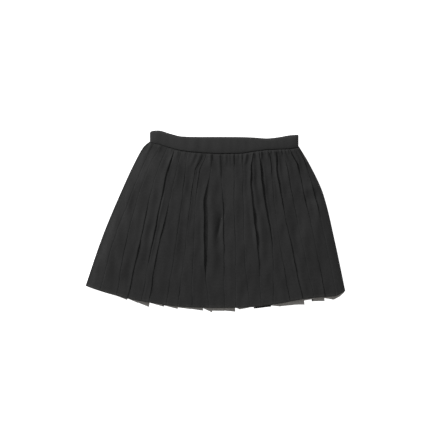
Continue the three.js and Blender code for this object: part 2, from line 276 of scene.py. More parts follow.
# %% The back folds
back_folds = table("hem drop step", [
    (-268, 0.5, 0.5),
    (-238, 0.5, 0.5),
    (-203, 4.2, 3.4),
    (-178, 5.8, 0.5),
    (-153, 11, 10.2),
    (-119, 5, 3),
    (-87, 5.8, 3.2),
    (-57, 4.6, 0.4),
    (-29, 7.2, 5.4),
    (-8, 11, 3.8),
    (20, 7.4, 0.4),
    (45, 9.4, 8.8),
    (57, 4.4, 0.4),
    (77, 1.2, 0.4),
    (92, 1, -3.4),
    (127, 4.8, 2.4),
    (150, 7.4, 0.4),
    (177, 10.2, 0.4),
    (204, 13.5, 9.4),
    (225, 3.2, -5),
    (250, 9.6, 6.2),
    (272, 8.4, 0.4),
])
print("folds on the back:", len(back_folds))

# %% [markdown]
# A table holds a curve at a few places only. This reader draws a smooth curve through them that never
# swings past a given value, so a flat stretch stays flat and a fold never overshoots into its neighbour.

# %% Read a smooth curve from a table
def smooth_read(places, values, at):
    """Reads a smooth curve through given values at one place along it."""
    if at <= places[0]:
        return values[0]
    if at >= places[-1]:
        return values[-1]
    last = len(places) - 1

    def slope(j):
        return (values[j + 1] - values[j]) / (places[j + 1] - places[j])

    def tangent(j):
        if j == 0:
            return slope(0)
        if j == last:
            return slope(last - 1)
        product = slope(j - 1) * slope(j)
        return 0 if product <= 0 else 2 * product / (slope(j - 1) + slope(j))

    i = next(j for j in range(last) if at <= places[j + 1])
    width = places[i + 1] - places[i]
    t = (at - places[i]) / width
    rise = t * t * (3 - 2 * t)
    leave = t * (1 - t) ** 2 * width * tangent(i)
    arrive = t * t * (1 - t) * width * tangent(i + 1)
    return values[i] + (values[i + 1] - values[i]) * rise + leave - arrive


def mix(a, b, share):
    """The value that lies a given share of the way from a to b."""
    return a + (b - a) * share


def read_line(line, column, x):
    """Reads one column of a line's table at a place across the skirt."""
    return smooth_read([row["x"] for row in line], [row[column] for row in line], x)


def fold_x(fold, share):
    """Where a folded edge runs at a share of the skirt's length."""
    return smooth_read(list(LENGTH_PLACES.values()), [fold[name] for name in LENGTH_PLACES], share)


def fold_opening(fold, kind, closed, share):
    """A fold's lift, gape or slot at a share of the length. It stays closed wherever its row says nothing."""
    places = [*OPEN_PLACES.values()][:-1] + [fold.get("closedBy", 1)]
    values = [fold.get(kind + name, closed) for name in OPEN_PLACES]
    return smooth_read(places, values, share)


print("waist seam over the middle, mm:", round(read_line(waist_line, "seam", 0), 1))

# %% [markdown]
# Both panels are folded in the same way, but their folds are placed differently. On the front each edge
# follows its row of the table. A worn edge doesn't show as an even line: it gapes in one stretch, where it
# shows dark, and lies flush with its neighbour in the next. Noise with a fixed seed picks the stretches,
# and the more its row lifts or opens an edge, the more surely it is seen. On the back, which lies
# underneath, the folds are evenly spaced at the waist and fan out to their places at the hem.

# %% Where the folds are at one height of the skirt
LINE_UNEVENNESS = 0.9
LINE_BEATS = 13
LINE_SPREAD = 3.7
LINE_SEED = 0.5
SEEN_START = 0.35
SEEN_SWING = 1.5
SEEN_BEATS = 9
SEEN_SEED = 8.5
SEEN_BY_LIFT = 0.4
SEEN_BY_GAPE = 0.3
SEEN_RISE = 0.4
FLUSH_RISE = 0.95
FLUSH_GAPE = 0.55
CLOSED_GAPE = 1.0
BACK_GAPE = 0.5
BANK_SHARE = 0.3


def front_folds_at(share):
    """Each front fold at this height. A pressed edge is seen in some stretches and lies flush in others."""
    folds = []
    for index, fold in enumerate(front_folds):
        unevenness = noise.noise(Vector((LINE_BEATS * share, LINE_SPREAD * index, LINE_SEED)))
        lift = max(0, (1 + LINE_UNEVENNESS * unevenness) * fold_opening(fold, "lift", 0, share))
        open_gape = fold_opening(fold, "gape", CLOSED_GAPE, share)
        drift = SEEN_SWING * noise.noise(Vector((SEEN_BEATS * share, LINE_SPREAD * index, SEEN_SEED)))
        opened = SEEN_BY_LIFT * lift + SEEN_BY_GAPE * max(0, open_gape - CLOSED_GAPE)
        seen = min(1, max(0, SEEN_START + drift + opened))
        gape = mix(FLUSH_GAPE, open_gape, seen)
        folds.append({
            "x": fold_x(fold, share), "lift": lift, "gape": gape, "bank": BANK_SHARE * gape,
            "rise": mix(FLUSH_RISE, SEEN_RISE, seen), "slot": fold_opening(fold, "slot", 0, share),
            "drop": 0, "step": 0,
        })
    return folds


def back_folds_at(share):
    """Each back fold at this height, in the same terms as a front one."""
    left, right = (fold_x(side, share) for side in side_lines)
    hem_left, hem_right = (side["hem"] for side in side_lines)
    folds = []
    for index, fold in enumerate(back_folds):
        at_waist = (index + 1) / (len(back_folds) + 1)
        at_hem = (fold["hem"] - hem_left) / (hem_right - hem_left)
        folds.append({
            "x": mix(left, right, mix(at_waist, at_hem, share)), "lift": 0, "gape": BACK_GAPE, "bank": 0,
            "rise": 0, "slot": 0, "drop": fold["drop"], "step": fold["step"],
        })
    return folds


gapes = [fold["gape"] for fold in front_folds_at(0.5)]
print("widest gap on the front half way down, mm:", round(max(gapes), 1))

# %% [markdown]
# The heart of the lesson is the path of the cloth through the pleats at one height of the skirt. It begins
# and ends at the side seams, where the front panel rounds down to meet the back one. Between them each fold
# needs a turn, which is a half circle, as pressed cloth makes.

# %% Turns and side edges
TURN_ANGLES = (45, 0, -45)
SIDE_SEAM_HEIGHT = 3.75
SIDE_ROUNDNESS = 3.0
SIDE_TURN = 1.5
EDGE_LEAN = 0.1
EDGE_INSET = 0.8
EDGE_LOW = 0.4
EDGE_HIGH = 1.0
FACE_LIFT = 0.65
LAST_FACE_SHARE = 0.4
LAST_FACE_CLIMB = 0.55
LAST_FACE_REST = 0.8


def turn(x, z, side):
    """Points round a half circle of cloth that opens to one side and ends one layer lower."""
    radius = LAYER_STEP / 2
    points = []
    for degrees in TURN_ANGLES:
        angle = math.radians(degrees)
        points.append((x + side * radius * math.cos(angle), z - radius + radius * math.sin(angle)))
    return points


def side_start(panel, x):
    """The cloth's first points, up from the side seam at the left."""
    level = panel["level"]
    edge = x + CLOTH_WALL / 2
    if panel["is_front"]:
        return [(edge, SIDE_SEAM_HEIGHT + SEAM_GAP / 2), (edge + EDGE_LEAN, level + EDGE_LOW),
                (edge + EDGE_INSET, level + EDGE_HIGH)]
    return [(edge, SIDE_SEAM_HEIGHT - SEAM_GAP / 2), (edge, level + SIDE_TURN),
            (edge + EDGE_INSET, level + EDGE_LOW)]


def side_end(panel, x, start):
    """The cloth's last points, from the start of the last face down to the side seam at the right."""
    level = panel["level"]
    edge = x - CLOTH_WALL / 2
    rest = x - SIDE_ROUNDNESS
    if panel["is_front"]:
        risen = mix(start, x, LAST_FACE_SHARE)
        return [(mix(start, risen, 0.5), level + LAST_FACE_CLIMB * FACE_LIFT), (risen, level + FACE_LIFT),
                (mix(risen, rest, 0.5), level + LAST_FACE_REST * FACE_LIFT), (rest, level + LAYER_STEP),
                (edge - EDGE_INSET, level + EDGE_HIGH), (edge - EDGE_LEAN, level + EDGE_LOW),
                (edge, SIDE_SEAM_HEIGHT + SEAM_GAP / 2)]
    return [(mix(start, x, 0.5), level), (rest, level), (edge - EDGE_INSET, level + EDGE_LOW),
            (edge, level + SIDE_TURN), (edge, SIDE_SEAM_HEIGHT - SEAM_GAP / 2)]


print("points round one turn:", len(turn(0, 0, 1)))

# %% [markdown]
# One fold is a face, a hidden part and a valley. The face runs out from the last fold and climbs onto its
# own folded edge. The cloth turns there, runs back underneath, turns again and comes out below the edge.
# The valley is the gap that it crosses to the next face: flat where the fold is closed, sloped where it
# gapes, and sunk to a slot where the table says so. Hidden points are marked, because a tuck lifts them
# less than the face.

# %% One fold
FACE_SAMPLES = 13
STACK = 2 * LAYER_STEP
UNDERLAY_AT_WAIST = 10.5
UNDERLAY_AT_HEM = 4.0
UNDERLAY_SHARE = 0.42
FOLD_CLEARANCE = 2.0
FOLD_CLEARANCE_SHARE = 0.25
RISE_SHARE = 0.62
RETURN_SHARES = (0.2, 0.4, 0.6, 0.8)
HIDDEN_SHARES = (0.33, 0.67)
HIDDEN_LIFT = 0.82
CLOSED_WIDTH = 1.0
OPEN_WIDTH = 2.5
EDGE_CLEARANCE = 0.3
LEDGE_SHARE = 0.3
LEDGE_RISE = 0.1
SLOT_SHARE = 0.8


def face_curve(panel, fold, face, share):
    """Where the hidden part starts, and the places and heights that the face's curve passes through."""
    low = panel["level"]
    deepest = mix(UNDERLAY_AT_WAIST, UNDERLAY_AT_HEM, share)
    start = fold["x"] - min(deepest, UNDERLAY_SHARE * (fold["x"] - face["x"]))
    top_start = start - min(FOLD_CLEARANCE, FOLD_CLEARANCE_SHARE * (start - face["x"]))
    rise = min(panel["longest_rise"], RISE_SHARE * (top_start - face["x"]))
    xs = [face["x"], top_start - rise, top_start, fold["x"]]
    zs = [face["z"], low + panel["face_lift"] + face["bank"], low + STACK, low + STACK + fold["lift"]]
    return start, xs, zs


def fold_face(fold, face, xs, zs):
    """The open face, from the last fold up onto this fold's edge."""
    points = []
    for sample in range(FACE_SAMPLES):
        t = sample / (FACE_SAMPLES - 1)
        x = mix(face["x"], fold["x"], t)
        points.append((x, smooth_read(xs, zs, x), mix(face["drop"], fold["drop"], t), 1))
    return points


def fold_underlay(panel, fold, start, xs, zs):
    """The hidden part: round the folded edge, back underneath, round again and out."""
    low = panel["level"]
    top = zs[-1]
    next_drop = fold["drop"] - fold["step"]
    step_down = smooth_read(xs, zs, start) - low - STACK
    points = [(x, z, fold["drop"], 1) for x, z in turn(fold["x"], top, 1)]
    points.append((fold["x"], top - LAYER_STEP, fold["drop"], HIDDEN_LIFT))
    for back in RETURN_SHARES:
        x = mix(fold["x"], start, back)
        z = smooth_read(xs, zs, x) - LAYER_STEP - step_down * back
        points.append((x, z, mix(fold["drop"], next_drop, back), HIDDEN_LIFT))
    under = [(start, low + LAYER_STEP), *turn(start, low + LAYER_STEP, -1), (start, low)]
    under += [(mix(start, fold["x"], t), low) for t in HIDDEN_SHARES]
    return points + [(x, z, next_drop, HIDDEN_LIFT) for x, z in under]


def fold_valley(panel, fold):
    """The gap beside the folded edge, and where the next face starts beyond it."""
    low = panel["level"]
    next_drop = fold["drop"] - fold["step"]
    closeness = min(1, max(0, (OPEN_WIDTH - fold["gape"]) / (OPEN_WIDTH - CLOSED_WIDTH)))
    depth = max(0, panel["valley_slope"] * max(0, fold["gape"] - OPEN_WIDTH) - fold["slot"] / 2)
    face = {"x": fold["x"] + fold["gape"], "z": low + fold["rise"] * closeness - depth,
            "drop": next_drop, "bank": fold["bank"]}
    edge_x = fold["x"] + EDGE_CLEARANCE
    points = [(edge_x, low - depth / 2, next_drop, HIDDEN_LIFT)]
    for along, sink in ((LEDGE_SHARE, -LEDGE_RISE), (SLOT_SHARE, 1)):
        z = mix(low - depth / 2, face["z"], along) - sink * fold["slot"]
        points.append((mix(edge_x, face["x"], along), z, next_drop, 1))
    return points, face


print("depth of a pleat at the waist and at the hem, mm:", UNDERLAY_AT_WAIST, UNDERLAY_AT_HEM)

# %% [markdown]
# The whole path is the left side, every fold in turn and the right side. A panel's rows, each with its own
# path, are packed closely near the waist, where the small tucks are, and lie wider apart down the skirt,
# where the pleats run nearly straight.

# %% The path across each panel
CORNER_DROP = 3.5
CORNER_EASE = 0.3
BACK_FACE_RISE = 5.0
VALLEY_SLOPE = 0.2
PANEL_LENGTH = 360
SEAM_ROWS = (0, 1.5, 2.6, 3.0, 3.5, 4.2, 5.2, 6.5)
NEAR_END = 0.12
FRONT_NEAR_ROWS = 19
FRONT_FAR_ROWS = 50
BACK_NEAR_ROWS = 7
BACK_FAR_ROWS = 36


def cloth_path(panel, share):
    """x, height, drop at the hem, and how fully a tuck lifts it, for each point across the panel."""
    left, right = (fold_x(side, share) for side in side_lines)
    path = [(x, z, 0, 1) for x, z in side_start(panel, left)]
    face = {"x": left + SIDE_ROUNDNESS, "z": panel["level"] + panel["side_lift"], "drop": 0, "bank": 0}
    for fold in panel["folds_at"](share):
        start, xs, zs = face_curve(panel, fold, face, share)
        path += fold_face(fold, face, xs, zs)
        path += fold_underlay(panel, fold, start, xs, zs)
        valley, face = fold_valley(panel, fold)
        path += valley
    path.append((face["x"], face["z"], face["drop"], 1))
    end = side_end(panel, right, face["x"])
    corner = panel["corner_drop"]
    drops = [mix(face["drop"], corner, CORNER_EASE), corner, *[0] * (len(end) - 2)]
    return path + [(x, z, drop, 1) for (x, z), drop in zip(end, drops)]


def row_shares(seam_rows, near_rows, far_rows):
    """Shares of the length: rows at the seam, close rows near the waist, and wider ones down to the hem."""
    near = [mix(seam_rows[-1], NEAR_END, (row + 1) / near_rows) for row in range(near_rows)]
    return [*seam_rows, *near, *[mix(NEAR_END, 1, (row + 1) / far_rows) for row in range(far_rows)]]


front_panel = {
    "is_front": True, "level": FRONT_LEVEL, "folds_at": front_folds_at, "side_lift": LAYER_STEP,
    "face_lift": FACE_LIFT, "longest_rise": math.inf, "corner_drop": 0, "valley_slope": VALLEY_SLOPE,
    "shares": row_shares([down / PANEL_LENGTH for down in SEAM_ROWS], FRONT_NEAR_ROWS, FRONT_FAR_ROWS),
}
back_panel = {
    "is_front": False, "level": BACK_LEVEL, "folds_at": back_folds_at, "side_lift": 0,
    "face_lift": 0, "longest_rise": BACK_FACE_RISE, "corner_drop": CORNER_DROP, "valley_slope": 0,
    "shares": row_shares([0], BACK_NEAR_ROWS, BACK_FAR_ROWS),
}
for name, panel in (("front", front_panel), ("back", back_panel)):
    print("points across the", name, "panel:", len(cloth_path(panel, 0)), "rows:", len(panel["shares"]))

# %% [markdown]
# Cloth is never as clean as its pattern. Long soft creases cross the faces, and a few places are pressed
# in. Noise alone would spread them evenly, so each is placed one by one as a line from one point to another
# with its own width and height. A crease lifts every layer together, which keeps the layers of a fold
# apart.

# %% Creases
CREASE_FADE = 0.7

front_creases = table("x1 y1 x2 y2 width height", [
    (-170, 120, -206, 20, 9, 1.2),
    (-200, 25, -262, -130, 18, 2.0),
    (-264, -82, -276, -120, 4.5, 1.0),
    (-205, -45, -196, -85, 7, -0.9),
    (-150, 125, -186, 60, 7, 0.7),
    (-118, 60, -140, -30, 6, 0.8),
    (-138, -75, -160, -170, 7, 0.8),
    (-60, 110, -85, 20, 6, 0.7),
    (-86, -20, -112, -160, 8, 0.8),
    (-45, 40, -60, -60, 5, 0.6),
    (-43, 116, -42, 98, 2.5, -0.8),
    (-15, 60, -14, -30, 2.5, 0.9),
    (19, 58, 18, 8, 2.2, 0.8),
    (16, 20, 2, -40, 3.4, -3.6),
    (23, 22, 11, -40, 3.5, 1.4),
    (0, 125, 2, 60, 6, 0.8),
    (32, 120, 34, -180, 7, 0.8),
    (-4, -60, 8, -170, 8, 0.8),
    (55, -70, 68, -150, 7, 0.7),
    (74, 100, 90, -40, 6, 0.9),
    (100, 40, 116, -40, 6, 0.8),
    (118, -20, 134, -130, 8, 0.9),
    (154, 40, 172, -50, 7, 0.9),
    (163, -60, 188, -160, 7, 0.8),
    (176, 30, 190, -40, 8, -1.0),
    (196, 70, 238, 82, 10, 3.4),
    (198, 46, 242, 56, 12, -3.6),
    (202, 47, 238, 50, 5, -0.9),
    (198, -12, 248, -8, 36, 5.0),
    (240, 28, 241, -4, 3, -1.0),
    (222, -50, 238, -110, 8, 0.8),
    (20, 130, 24, -160, 14, -1.8),
    (52, 150, 58, -80, 20, 2.0),
    (120, 70, 138, -120, 15, -2.2),
    (-128, 40, -150, -110, 16, -1.6),
    (255, -30, 268, -120, 8, 0.7),
])


def ridge(x, y, crease):
    """The height of one soft crease over a grid of places, fading out at its ends and sides."""
    run = np.array((crease["x2"] - crease["x1"], crease["y2"] - crease["y1"]))
    length = np.hypot(*run)
    along = ((x - crease["x1"]) * run[0] + (y - crease["y1"]) * run[1]) / length ** 2
    aside = ((x - crease["x1"]) * run[1] - (y - crease["y1"]) * run[0]) / length
    fade = np.sin(np.pi * np.clip(along, 0, 1)) ** CREASE_FADE
    return crease["height"] * fade * np.exp(-(aside / crease["width"]) ** 2)


print("creases and dimples:", len(front_creases))

# %% [markdown]
# Where the strip is gathered into the waistband, small tucks run down from the seam. Each is a short ridge
# with its own length and lean. A second table says how the cloth leaves the seam: how much higher it stands
# there, and over what length it rolls up. The seam is tight at both ends, where the cloth is soon as high
# as the band, and soft in the middle.

# %% Tucks at the waist
TUCK_FULLNESS = 1.5

waist_tucks = table("x length lean width height", [
    (-146, 30, -14, 4.0, 1.5),
    (-126, 20, -6, 3.4, 1.0),
    (-101, 20, -5, 3.0, 0.9),
    (-86, 24, -5, 3.4, 1.0),
    (-70, 20, -3, 3.0, 0.9),
    (-46, 34, -12, 4.0, 1.8),
    (-33, 40, -16, 3.6, 1.8),
    (-12, 34, 0, 4.2, 2.6),
    (2, 20, 1, 3.0, 1.0),
    (8, 64, 2, 3.6, 1.4),
    (23, 28, 0, 3.0, 2.2),
    (31, 34, 1, 3.0, 1.4),
    (39, 28, 1, 3.0, 2.2),
    (50, 18, 1, 2.8, 1.0),
    (58.5, 28, 0, 2.8, 2.0),
    (71, 30, -5, 3.4, 2.4),
    (79, 12, -1, 2.4, 1.2),
    (86, 34, -3, 2.8, 2.0),
    (95, 16, 3, 3.0, 1.6),
    (103, 36, 0, 2.4, 2.6),
    (111, 10, 2, 2.4, 1.4),
    (117, 22, 4, 2.4, 2.4),
    (125, 12, 0, 2.2, 2.0),
    (132, 28, 4, 3.0, 2.6),
    (140, 10, 1, 2.2, 1.6),
    (147, 16, 5, 2.4, 2.4),
    (155, 30, 9, 3.2, 1.8),
    (163, 14, 4, 2.4, 2.2),
    (176, 34, 18, 3.4, 2.2),
])

seam_fit = table("x rise roll", [
    (-151.3, 3.2, 0.5),
    (-126, 2.8, 0.5),
    (-108, 0.6, 1.8),
    (-80, 0.1, 4.0),
    (60, 0.0, 4.0),
    (120, 0.6, 3.2),
    (160, 1.1, 2.4),
    (189.8, 2.0, 1.8),
])


def tuck_ridge(x, y, tuck):
    """A short ridge that leaves the waist seam at full height and dies away down the skirt."""
    seam = read_line(waist_line, "seam", tuck["x"])
    down = np.clip((seam - y) / tuck["length"], 0, 1)
    aside = x - (tuck["x"] + tuck["lean"] * down)
    return TUCK_FULLNESS * tuck["height"] * (1 - down ** 2) * np.exp(-(aside / tuck["width"]) ** 2)


print("tucks at the waist:", len(waist_tucks))

# %% [markdown]
# Between its creases the front lies in slow waves with small dimples on them, so it catches the light
# unevenly. Both sides puff up where the cloth rounds over to the back panel, the left one more. The folded
# edges wander and kink a little sideways, and the hem lifts slightly, because its turned-up cloth is
# stiffer.

# %% Waves and puffed sides
WAVE_HEIGHT = 2.0
WAVE_MIDDLE = 0.5
WAVE_SWING = 0.6
WAVE_WIDTH = 30
WAVE_LENGTH = 120
WAVE_SEED = 7.3
RUMPLE_HEIGHT = 1.8
RUMPLE_WIDTH = 16
RUMPLE_LENGTH = 38
RUMPLE_SEED = 4.1
LEFT_PUFF = {"height": 7.0, "at_hem": 0.5, "rise": 58, "fall": 130}
RIGHT_PUFF = {"height": 4.6, "at_hem": 1.0, "rise": 5, "fall": 42}


def smooth_step(t):
    """A soft ramp from 0 to 1 that is flat at both ends."""
    t = np.clip(t, 0, 1)
    return t * t * (3 - 2 * t)


def soft_noise(x, y, width, length, seed):
    """Smooth noise between about -1 and 1 over a grid of places."""
    values = [noise.noise(Vector((a / width, b / length, seed))) for a, b in zip(x.flat, y.flat)]
    return np.array(values).reshape(x.shape)


def slow_waves(x, y):
    """Broad low waves with small dimples on them, longer down the skirt than across it, never below zero."""
    broad = WAVE_HEIGHT * (WAVE_MIDDLE + WAVE_SWING * soft_noise(x, y, WAVE_WIDTH, WAVE_LENGTH, WAVE_SEED))
    small = RUMPLE_HEIGHT * (WAVE_MIDDLE + soft_noise(x, y, RUMPLE_WIDTH, RUMPLE_LENGTH, RUMPLE_SEED))
    return np.clip(broad + small, 0, None)


def side_puff(inward, share, puff):
    """How far a side stands up off the back panel: it rises from the side seam and sinks slowly inward."""
    rise = np.sin(np.pi / 2 * np.clip(inward / puff["rise"], 0, 1))
    fall = 1 - smooth_step((inward - puff["rise"]) / puff["fall"])
    return puff["height"] * mix(1, puff["at_hem"], share) * rise * fall


print("the left side puffs up by, mm:", LEFT_PUFF["height"], "and the right side by:", RIGHT_PUFF["height"])

# %% [markdown]
# Draping puts all of this on the front panel's points. Everything dies away at the waist seam, where the
# cloth is held inside the band and squeezed flat, and the side edges stay calm, so the outline is kept. The
# hidden layers come out of the seam a little later and lie a little lower than the face, so they never cut
# through it.

# %% Drape the front
SIDE_CALM = 18
SEAM_CALM = 5
WANDER = 1.6
WANDER_WIDTH = 60
WANDER_LENGTH = 42
WANDER_SEED = 2.9
KINK = 0.8
KINK_WIDTH = 30
KINK_LENGTH = 15
KINK_SEED = 5.7
HEM_LIFT = 1.4
HEM_LIFT_START = 0.88
HIDDEN_SINK = 0.4
HIDDEN_SINK_LENGTH = 60
HIDDEN_DELAY = 1.4
SEAM_RISE_LENGTH = 30
PUFF_START = 36
SEAM_LEVEL = 4.1
SEAM_SQUEEZE = 0.6


def drape(shares, x, y, z, tuck_share, waist_x, seam):
    """The front's points after they have wandered, creased, puffed up and been caught in the waist seam."""
    share = np.array(shares)[:, None]
    left, right = (np.array([fold_x(side, s) for s in shares])[:, None] for side in side_lines)
    down = seam[None, :] - y
    calm = smooth_step((x - left) / SIDE_CALM) * smooth_step((right - x) / SIDE_CALM)
    calm = calm * smooth_step(down / SEAM_CALM)
    wander = WANDER * soft_noise(x, y, WANDER_WIDTH, WANDER_LENGTH, WANDER_SEED)
    x = x + calm * (wander + KINK * soft_noise(x, y, KINK_WIDTH, KINK_LENGTH, KINK_SEED))
    lift = slow_waves(x, y) + sum(ridge(x, y, crease) for crease in front_creases)
    lift = lift + HEM_LIFT * smooth_step((share - HEM_LIFT_START) / (1 - HEM_LIFT_START)) ** 2
    hidden = (1 - tuck_share) / (1 - HIDDEN_LIFT)
    tucks = tuck_share * sum(tuck_ridge(x, y, tuck) for tuck in waist_tucks)
    tucks = tucks - HIDDEN_SINK * hidden * (1 - smooth_step(down / HIDDEN_SINK_LENGTH))
    flush = np.array([read_line(seam_fit, "rise", place) for place in waist_x])[None, :]
    roll = np.array([read_line(seam_fit, "roll", place) for place in waist_x])[None, :]
    near_seam = 1 - smooth_step(down / SEAM_RISE_LENGTH)
    puffs = side_puff(x - left, share, LEFT_PUFF) + side_puff(right - x, share, RIGHT_PUFF)
    raised = z + calm * lift + tucks + flush * near_seam + puffs * smooth_step(down / PUFF_START)
    held = SEAM_LEVEL + SEAM_SQUEEZE * (z - FRONT_LEVEL)
    return x, mix(held, raised, smooth_step((down - HIDDEN_DELAY * hidden) / roll))


print("cloth is held in the seam this high above the surface, mm:", SEAM_LEVEL)

# %% [markdown]
# A panel is a grid of points: across it runs the path of the cloth, and down it the rows from the waist
# seam to the hem. Blender's grid operator makes the sheet, and each of its points is then moved to its
# place. The grid's own UV map holds real distances along the cloth, so a weave can follow every fold, and
# each point also keeps its distance from the edge that is painted lighter, partly as rubbed wear and partly
# as a painted highlight. Solidify gives the sheet a thickness and its wrong side a material of its own.

# %% Build a sheet of cloth
SEAM_ALLOWANCE = 3.0


def panel_points(panel):
    """The panel's points in millimetres, as arrays of rows by columns, and the distance along the cloth."""
    shares = panel["shares"]
    paths = np.array([cloth_path(panel, share) for share in shares])
    waist_x = [point[0] for point in cloth_path(panel, 0)]
    seam = np.array([read_line(waist_line, "seam", place) for place in waist_x])
    tops = seam + (SEAM_ALLOWANCE if panel["is_front"] else -SEAM_GAP)
    hems = np.array([read_line(hem_line, "y", point[0]) - point[2] for point in cloth_path(panel, 1)])
    x = paths[:, :, 0]
    y = mix(tops[None, :], hems[None, :], np.array(shares)[:, None])
    z = paths[:, :, 1]
    if panel["is_front"]:
        x, z = drape(shares, x, y, z, paths[:, :, 3], waist_x, seam)
    return x, y, z, distance_along(x, z)


def distance_along(x, z):
    """How far each point lies from its row's first point, measured along the cloth."""
    steps = np.hypot(np.diff(x, axis=1), np.diff(z, axis=1))
    return np.concatenate([np.zeros((len(x), 1)), np.cumsum(steps, axis=1)], axis=1)


def make_sheet(name, x, y, z, across, materials, rubbed_and_lit_row):
    """One sheet of cloth from a grid of points, whose rows run down the skirt. One row is the edge that is
    rubbed and also painted lighter as a highlight.
    """
    rows, columns = x.shape
    sheet = bmesh.new()
    bmesh.ops.create_grid(sheet, x_segments=columns - 1, y_segments=rows - 1, size=0.5)
    uv = sheet.loops.layers.uv.new("cloth")
    from_edge = sheet.verts.layers.float.new("from_edge")
    down = np.concatenate([np.zeros((1, columns)), np.cumsum(np.abs(np.diff(y, axis=0)), axis=0)], axis=0)
    spot = {}
    for vertex in sheet.verts:
        column = round((vertex.co.x + 0.5) * (columns - 1))
        row = round((0.5 - vertex.co.y) * (rows - 1))
        spot[vertex] = (row, column)
        vertex.co = (x[row, column] * MM, y[row, column] * MM, z[row, column] * MM)
        vertex[from_edge] = abs(down[rubbed_and_lit_row, column] - down[row, column]) * MM
    for face in sheet.faces:
        face.smooth = True
        for loop in face.loops:
            row, column = spot[loop.vert]
            loop[uv].uv = (across[row, column] * MM, down[row, column] * MM)
    data = bpy.data.meshes.new(name)
    sheet.to_mesh(data)
    sheet.free()
    for material in materials:
        data.materials.append(material)
    piece = bpy.data.objects.new(name, data)
    scene.collection.objects.link(piece)
    return piece


def thicken(piece, thickness, inner_material):
    """Gives a sheet its thickness, half to each side, with another material on its inner face."""
    wall = piece.modifiers.new("cloth_wall", "SOLIDIFY")
    wall.thickness = thickness * MM
    wall.offset = 0
    wall.material_offset = inner_material


print("the front's cloth runs up into the waistband by, mm:", SEAM_ALLOWANCE)

# %% [markdown]
# The cloth is a dyed polyester crepe suiting: matt, dark charcoal, with fine crossed threads and a dry hand
# that catches a little light at a low angle. Threads lie about half a millimetre apart, too fine for the
# picture, so the weave is drawn at twice that. Slow noise makes the dye a little uneven, as on washed
# cloth. The hem and the top of the waistband are painted a little lighter, unevenly, within a few
# millimetres of the edge: partly rubbed wear, partly a painted highlight where the light catches them. The
# wrong side of the cloth is paler and warmer, and its colour is set paler still as painted light, for the
# glow of the bright surface through the thin cloth. Two short stretches of the back's hem are painted in a
# darker copy of the cloth, as painted shadow.

# %% Cloth materials
THREAD_SPACING = 1.0 * MM
SLUB_SIZE = 5 * MM
DYE_PATCH = 70 * MM
WEAVE_DEPTH = 0.06 * MM
# How far from the hem and the band's top the colour is painted lighter: partly wear, partly painted
# highlight.
WEAR_AND_HIGHLIGHT_WIDTH = 8 * MM
WEAR_AND_HIGHLIGHT_SHARE = 1.2
# A Mix node has sockets of the same name for each kind of data, so those for colours go by their numbers.
MIX_FACTOR, MIX_FIRST, MIX_SECOND, MIX_RESULT = 0, 6, 7, 2


def wave_scale(spacing):
    """The Wave texture's scale for this spacing. At scale 1 its straight bands lie pi / 10 apart."""
    return math.pi / 10 / spacing


def weave_height(tree, uv):
    """The height of crossed threads, one wave across the cloth and one along it."""
    waves = []
    for direction in ("X", "Y"):
        waves.append(add_node(tree, "ShaderNodeTexWave", {"bands_direction": direction}, {
            "Scale": wave_scale(THREAD_SPACING), "Distortion": 0.6, "Detail Scale": 1.0,
        }, {"Vector": uv}))
    return add_node(tree, "ShaderNodeMath", {"operation": "MULTIPLY"}, None, {
        0: waves[0].outputs["Fac"], 1: waves[1].outputs["Fac"],
    })


